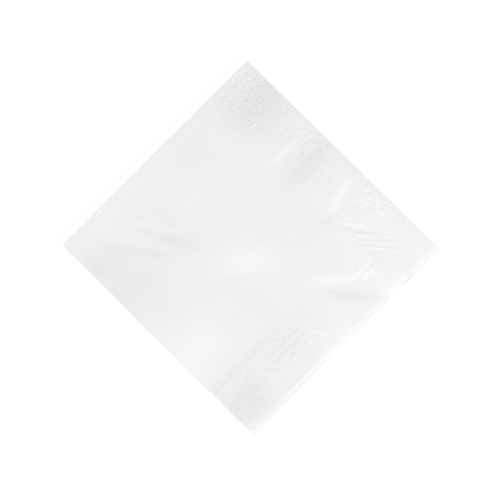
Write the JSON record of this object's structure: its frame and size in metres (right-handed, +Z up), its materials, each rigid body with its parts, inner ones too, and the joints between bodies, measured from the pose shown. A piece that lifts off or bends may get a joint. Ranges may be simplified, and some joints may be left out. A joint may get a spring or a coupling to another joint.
{
  "type": "paper napkin",
  "caption": "Square two-ply tissue napkin with an embossed border, folded twice into quarters and lying flat.",
  "frame": {"origin": "under the middle of the folded napkin, on the surface that it lies on", "axes": "+Z up from that surface; the first fold lies along the low Y side and the second fold along the low X side, so the open edges are on the high X and high Y sides"},
  "size_m": [0.1284, 0.127, 0.0024],
  "materials": {
    "tissue": "soft matt tissue"
  },
  "bodies": {
    "root": {"napkin_sheet": "tissue"}
  },
  "joints": []
}
